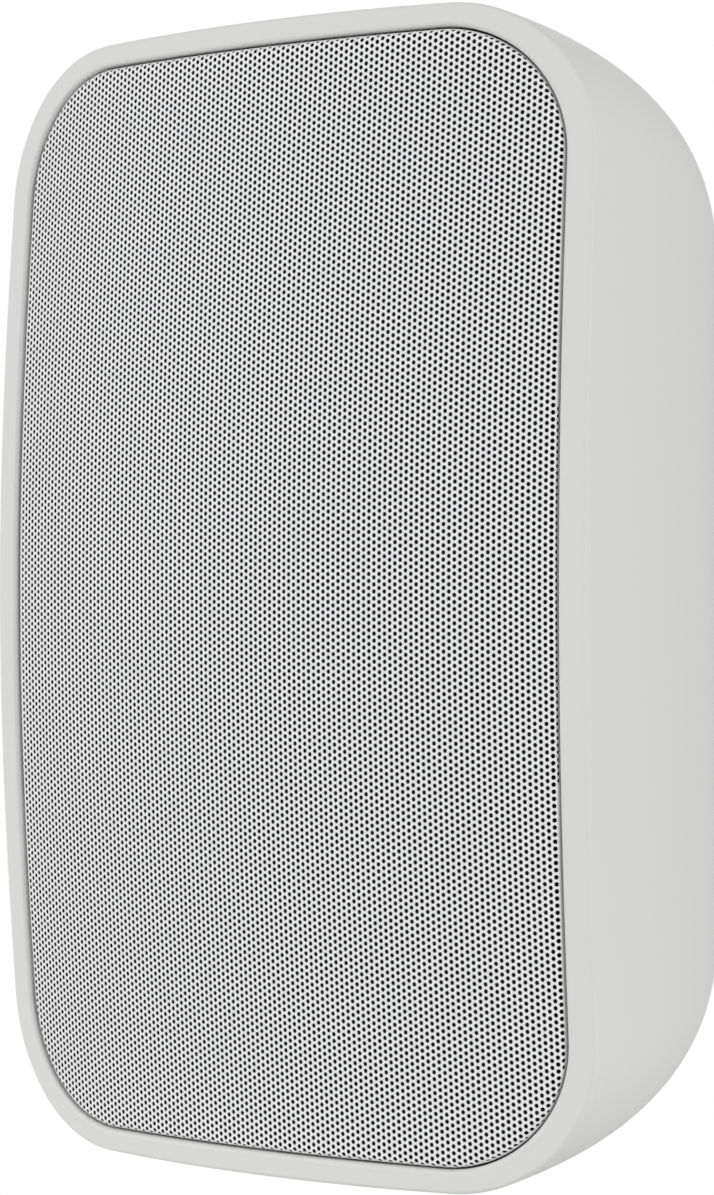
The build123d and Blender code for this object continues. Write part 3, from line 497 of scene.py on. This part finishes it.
def band_of(across, seams):
    """Number of the band that each place across the sheet is in."""
    return sum((across > seam).astype(int) for seam in seams)


def grille():
    """The perforated sheet with its rolled edge and flange, in upright bands between columns of holes."""
    centres = hole_centres()
    rims = hole_rims(centres)
    border = outline.curve(SHEET_EDGE, BORDER_SPACING)
    flat, faces = cut_sheet(rims, border, roll_points(on_front(centres)), seam_lines(border))
    front_seams = on_front(np.array([[seam, 0.0] for seam in SEAMS]))[:, 0]
    face_band = band_of(flat[faces, 0].mean(1), front_seams)
    hole_band = band_of(centres[:, 0], SEAMS)
    border_band = band_of(border[:, 0], front_seams)
    surface = rolled(flat, 0.0)
    outer = rolled(rims, 0.0)
    inner = rolled(rims, HOLE_WALL)
    lip = rolled(border, 0.0)
    foot = lip.copy()
    foot[:, 1] = GRILLE_FOOT - DEPTH
    corner = np.arange(HOLE_SIDES)
    for band, name in enumerate(GRILLE_BANDS):
        used, local = np.unique(faces[face_band == band], return_inverse=True)
        holes = np.nonzero(hole_band == band)[0]
        index = (holes[:, None] * HOLE_SIDES + corner).ravel()
        first = len(used) + np.arange(len(holes))[:, None] * HOLE_SIDES
        a = (first + corner).ravel()
        b = (first + (corner + 1) % HOLE_SIDES).ravel()
        walls = np.stack([a, b, b + len(index), a + len(index)], 1)
        at_lip = len(used) + 2 * len(index)
        at_foot = at_lip + len(lip)
        flange = [
            (at_lip + k, at_foot + k, at_foot + m, at_lip + m)
            for k, m in loop_edges(0, len(border))
            if min(border_band[k], border_band[m]) == band
        ]
        points = np.concatenate([surface[used], outer[index], inner[index], lip, foot])
        sheet = [*local.reshape(-1, 3), *walls]
        piece = make_mesh(name, points, sheet + flange)
        for polygon in piece.data.polygons[len(sheet):]:
            polygon.material_index = 1
        strip_loose(piece)
        dress(piece, "grille")
        # Its flange faces take the near-black painted-shade material, for the dark of the deep gap.
        piece.data.materials.append(looks["flange_painted_shade"])
        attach(piece, "enclosure")


def scrim():
    """Black cloth stretched behind the grille, as one curved sheet."""
    edge = outline.curve(GRILLE_INSET + GRILLE_EDGE_RADIUS + SCRIM_INSET, SCRIM_SPACING)
    flat = np.concatenate([*(edge * share for share in SCRIM_RINGS), np.zeros((1, 2))])
    y = front(flat, GRILLE_RECESS + GRILLE_THICKNESS + SCRIM_GAP) + sag(flat)
    middle = len(flat) - 1
    faces = row_faces(len(SCRIM_RINGS), len(edge))
    faces += [(k, m, middle) for k, m in loop_edges(middle - len(edge), len(edge))]
    piece = make_mesh("scrim", np.stack([flat[:, 0], y, flat[:, 1]], 1), faces)
    dress(piece, "grille_scrim")
    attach(piece, "enclosure")


def arc_points(start, crest, end, count):
    """Points of a round arc from start over a crest to end, as (radius, depth); the end is left out."""
    start, crest, end = (np.array(p, float) for p in (start, crest, end))
    rows = 2 * np.array([crest - start, end - start])
    middle = np.linalg.solve(rows, [crest @ crest - start @ start, end @ end - start @ start])
    first, top, last = (math.atan2(*(p - middle)[::-1]) for p in (start, crest, end))
    top += 2 * math.pi * round((first - top) / (2 * math.pi))
    last += 2 * math.pi * round((top - last) / (2 * math.pi))
    angle = np.linspace(first, last, count, endpoint=False)
    radius = np.hypot(*(start - middle))
    return [tuple(p) for p in middle + radius * np.stack([np.cos(angle), np.sin(angle)], 1)]


def place_of(node):
    """Middle of a turned node across and up, its radius, and its front and back, in millimetres."""
    low, high = (np.array(corner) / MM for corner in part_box(node))
    middle = (low + high) / 2
    return middle[0], middle[2], (high[0] - low[0]) / 2, low[1], high[1]


def stretched_ring(node, profile, sectors):
    """Ring in sectors that stretch between the enclosure and a moving body; profile is (radius, depth)."""
    x, z = place_of(node)[:2]
    profile = np.array(profile)
    for n in range(sectors):
        angles = np.linspace(n, n + 1, SECTOR_STEPS) * 2 * math.pi / sectors
        points = [(x + r * math.cos(a), y, z + r * math.sin(a)) for a in angles for r, y in profile]
        piece = make_mesh(f"{node}_{n + 1:02d}", points, row_faces(SECTOR_STEPS, len(profile)))
        dress(piece, node)
        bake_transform(piece)


def rubber_surround():
    """Half roll between the woofer's frame and its cone."""
    node = "woofer_surround"
    outer, front_y, back = place_of(node)[2:]
    mid = outer - SURROUND_LIP - SURROUND_ROLL
    edge = back - SURROUND_THICKNESS
    fixed, moving = mid + SURROUND_ROLL, mid - SURROUND_ROLL
    profile = [(outer, back), (outer, edge)]
    profile += arc_points((fixed, edge), (mid, front_y), (moving, edge), SURROUND_STEPS)
    profile += [(moving, edge), (moving - SURROUND_LIP, edge), (moving - SURROUND_LIP, back)]
    inner = SURROUND_ROLL - SURROUND_THICKNESS
    crest = (mid, front_y + SURROUND_THICKNESS)
    profile += arc_points((mid - inner, back), crest, (mid + inner, back), SURROUND_STEPS)
    profile += [(mid + inner, back)]
    stretched_ring(node, profile, WOOFER_SECTORS)


def cloth_spider():
    """Corrugated disc between the voice coil and the woofer's frame."""
    node = "woofer_spider"
    outer, front_y = place_of(node)[2:4]
    moving, fixed = SPIDER_NECK + SPIDER_NECK_LIP, outer - SPIDER_CLAMP
    level = front_y + SPIDER_SWING
    run = np.linspace(moving, fixed, WAVE_STEPS * SPIDER_WAVES + 1)
    wave = -SPIDER_SWING * np.sin((run - moving) / (fixed - moving) * SPIDER_WAVES * 2 * math.pi)
    face = [(SPIDER_NECK + SPIDER_CLEARANCE, level)] + list(zip(run, level + wave)) + [(outer, level)]
    profile = face + [(r, y + SPIDER_THICKNESS) for r, y in reversed(face)]
    stretched_ring(node, profile, WOOFER_SECTORS)


def dome_surround():
    """Small roll between the tweeter's dome and its clamped lip."""
    node = "tweeter_surround"
    outer, front_y, back = place_of(node)[2:]
    fixed = outer - DOME_CLAMP
    mid = (DOME_EDGE + fixed) / 2
    edge = front_y + DOME_ROLL_RISE
    profile = [(DOME_EDGE, back), (DOME_EDGE, edge)]
    profile += arc_points((DOME_EDGE, edge), (mid, front_y), (fixed, edge), DOME_STEPS)[1:]
    profile += [(fixed, edge), (outer, edge), (outer, back)]
    crest = (mid, front_y + DOME_ROLL_THICKNESS)
    profile += arc_points((fixed, back), crest, (DOME_EDGE, back), DOME_STEPS)
    stretched_ring(node, profile, TWEETER_SECTORS)


def button_spring(colour):
    """Coil spring under a terminal button, pressed flat as the button goes in."""
    node = f"terminal_spring_{colour}"
    x, z, outer, front_y, back = place_of(node)
    t = np.linspace(0, 1, SPRING_TURNS * SPRING_STEPS + 1)
    swing = t * SPRING_TURNS * 2 * math.pi
    out = np.stack([np.cos(swing), np.zeros_like(t), np.sin(swing)], 1)
    line = (outer - SPRING_WIRE) * out
    line[:, 1] = front_y + SPRING_WIRE + t * (back - front_y - 2 * SPRING_WIRE)
    line += (x, 0, z)
    around = np.linspace(0, 2 * math.pi, WIRE_SIDES, endpoint=False)[None, :, None]
    rings = line[:, None, :] + SPRING_WIRE * (np.cos(around) * out[:, None, :] + np.sin(around) * (0, 1, 0))
    last = (len(t) - 1) * WIRE_SIDES
    faces = row_faces(len(t), WIRE_SIDES)
    faces += [tuple(range(WIRE_SIDES)), tuple(range(last + WIRE_SIDES - 1, last - 1, -1))]
    piece = make_mesh(f"spring_{colour}", rings.reshape(-1, 3), faces)
    dress(piece, node)
    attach(piece, "enclosure")
    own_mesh(piece)


def pale_floor():
    """Round pale floor."""
    place = (STAGE_MIDDLE[0], STAGE_MIDDLE[1], FLOOR_HEIGHT)
    bpy.ops.mesh.primitive_circle_add(
        vertices=FLOOR_SIDES, radius=FLOOR_RADIUS, fill_type="NGON", location=place
    )
    floor = bpy.context.object
    floor.name = "floor"
    mat = bpy.data.materials.new("floor")
    mat.use_nodes = True
    shader = mat.node_tree.nodes["Principled BSDF"]
    shader.inputs["Base Color"].default_value = FLOOR_COLOUR
    shader.inputs["Roughness"].default_value = FLOOR_ROUGHNESS
    floor.data.materials.append(mat)


def white_world():
    """Even light from all round, which shows as plain white behind the part, in gloss and through glass."""
    world = bpy.data.worlds.new("studio")
    bpy.context.scene.world = world
    world.use_nodes = True
    tree = world.node_tree
    light = tree.nodes["Background"]
    light.inputs["Color"].default_value = WHITE
    light.inputs["Strength"].default_value = WORLD_STRENGTH
    backdrop = tree.nodes.new("ShaderNodeBackground")
    backdrop.inputs["Color"].default_value = WHITE
    backdrop.inputs["Strength"].default_value = 1.0
    path = tree.nodes.new("ShaderNodeLightPath")
    seen = path.outputs["Is Camera Ray"]
    for kind in ("Is Glossy Ray", "Is Transmission Ray"):
        either = tree.nodes.new("ShaderNodeMath")
        either.operation = "MAXIMUM"
        tree.links.new(seen, either.inputs[0])
        tree.links.new(path.outputs[kind], either.inputs[1])
        seen = either.outputs[0]
    mix = tree.nodes.new("ShaderNodeMixShader")
    tree.links.new(seen, mix.inputs["Fac"])
    tree.links.new(light.outputs[0], mix.inputs[1])
    tree.links.new(backdrop.outputs[0], mix.inputs[2])
    tree.links.new(mix.outputs[0], tree.nodes["World Output"].inputs["Surface"])


def soft_light(name, place, power):
    """Large round lamp that faces the part."""
    lamp = bpy.data.lights.new(name, "AREA")
    lamp.shape = "DISK"
    lamp.size = LIGHT_SIZE
    lamp.energy = power
    holder = bpy.data.objects.new(name, lamp)
    holder.location = place
    holder.rotation_euler = (Vector(STAGE_MIDDLE) - Vector(place)).to_track_quat("-Z", "Y").to_euler()
    bpy.context.scene.collection.objects.link(holder)


def photo_camera():
    """Camera with the photograph's place, angle and frame."""
    sin_yaw, cos_yaw = math.sin(CAMERA_YAW), math.cos(CAMERA_YAW)
    sin_pitch, cos_pitch = math.sin(CAMERA_PITCH), math.cos(CAMERA_PITCH)
    sin_roll, cos_roll = math.sin(CAMERA_ROLL), math.cos(CAMERA_ROLL)
    ahead = Vector((-sin_yaw * cos_pitch, cos_yaw * cos_pitch, sin_pitch))
    right = Vector((cos_yaw, sin_yaw, 0.0))
    up = right.cross(ahead)
    tilted_right = right * cos_roll + up * sin_roll
    tilted_up = up * cos_roll - right * sin_roll
    turn = Matrix((tilted_right, tilted_up, -ahead)).transposed().to_4x4()
    lens = bpy.data.cameras.new("camera")
    lens.lens = CAMERA_FOCAL / PHOTO_HEIGHT * SENSOR_SIZE
    lens.sensor_width = SENSOR_SIZE
    lens.sensor_fit = "AUTO"
    camera = bpy.data.objects.new("camera", lens)
    camera.matrix_world = Matrix.Translation(Vector(CAMERA_PLACE) * MM) @ turn
    bpy.context.scene.collection.objects.link(camera)
    bpy.context.scene.camera = camera


add_looks()
paint_nodes()
grille()
scrim()
rubber_surround()
cloth_spider()
dome_surround()
button_spring("red")
button_spring("black")
pale_floor()
white_world()
for light_name, light_place, light_power in LIGHTS:
    soft_light(light_name, light_place, light_power)
photo_camera()
bpy.context.scene.view_settings.view_transform = "Standard"
